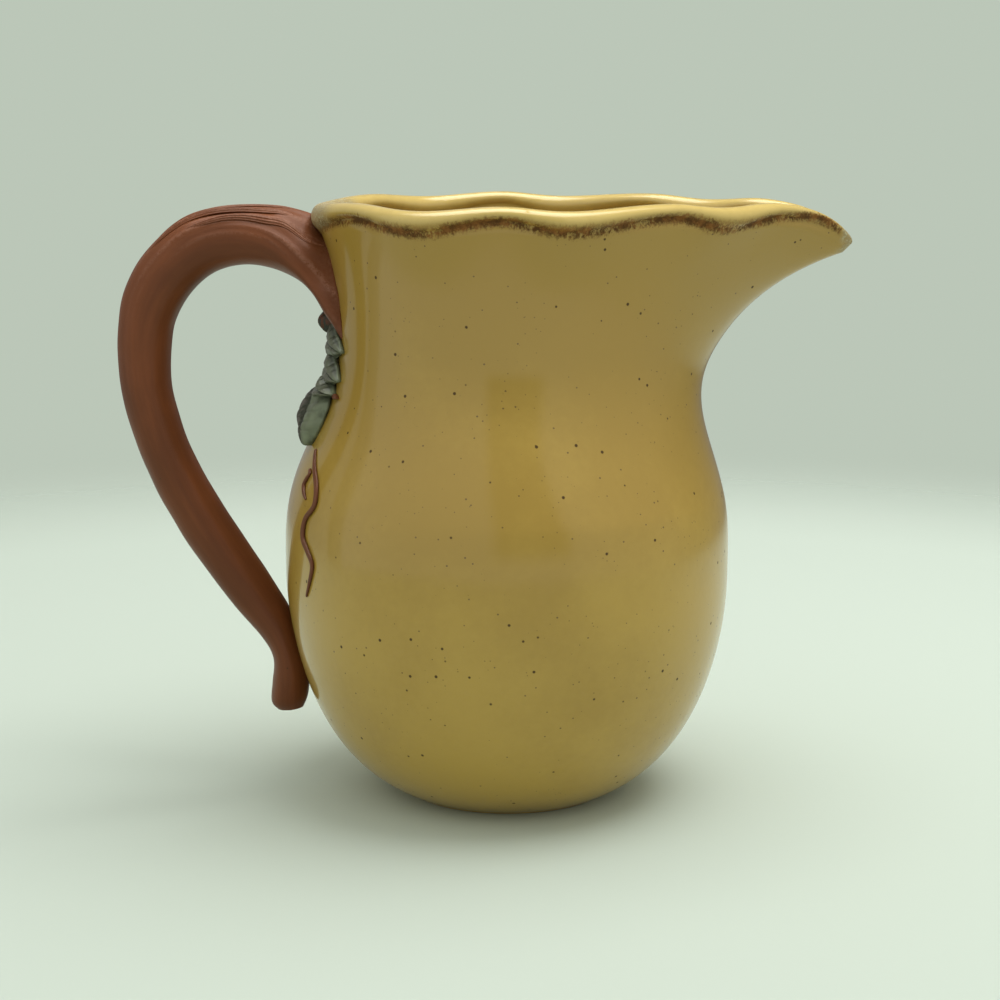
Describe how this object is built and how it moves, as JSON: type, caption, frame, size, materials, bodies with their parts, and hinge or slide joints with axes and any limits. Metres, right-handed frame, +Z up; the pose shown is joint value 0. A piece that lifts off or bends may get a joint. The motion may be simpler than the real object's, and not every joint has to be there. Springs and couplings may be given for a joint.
{
  "type": "pitcher",
  "caption": "Round-bellied glazed earthenware pitcher with a fluted lip, a beaked spout, a loop handle made as a vine stem, and applied leaves and tendrils.",
  "frame": {"origin": "middle of the foot, on the surface that the pitcher stands on", "axes": "+Z up, +X towards the tip of the spout, -X towards the handle, -Y the side that faces the viewer"},
  "size_m": [0.2607, 0.16, 0.2143],
  "materials": {
    "mustard_glaze": "glossy speckled mustard glaze, with a stippled brown band under the lip and a bare fired ring under the foot",
    "brown_glaze": "glossy red-brown glaze",
    "vine_brown_glaze": "glossy red-brown glaze, worn lighter on the ridges",
    "leaf_glaze": "glossy grey-green glaze, darker in the folds",
    "tendril_glaze": "glossy brown glaze"
  },
  "bodies": {
    "root": {"body": "mustard_glaze", "handle": "brown_glaze", "strand_top": "vine_brown_glaze", "strand_near_upper": "vine_brown_glaze", "strand_far_upper": "vine_brown_glaze", "strand_near_lower": "vine_brown_glaze", "strand_far_lower": "vine_brown_glaze", "leaf_near_1": "leaf_glaze", "leaf_near_2": "leaf_glaze", "leaf_near_3": "leaf_glaze", "leaf_near_4": "leaf_glaze", "leaf_far_1": "leaf_glaze", "leaf_far_2": "leaf_glaze", "leaf_far_3": "leaf_glaze", "leaf_far_4": "leaf_glaze", "bud_near": "leaf_glaze", "bud_far": "leaf_glaze", "stem_near": "tendril_glaze", "stem_far": "tendril_glaze", "tendril_near": "tendril_glaze", "tendril_far": "tendril_glaze", "curl_near": "tendril_glaze", "curl_far": "tendril_glaze"}
  },
  "joints": []
}
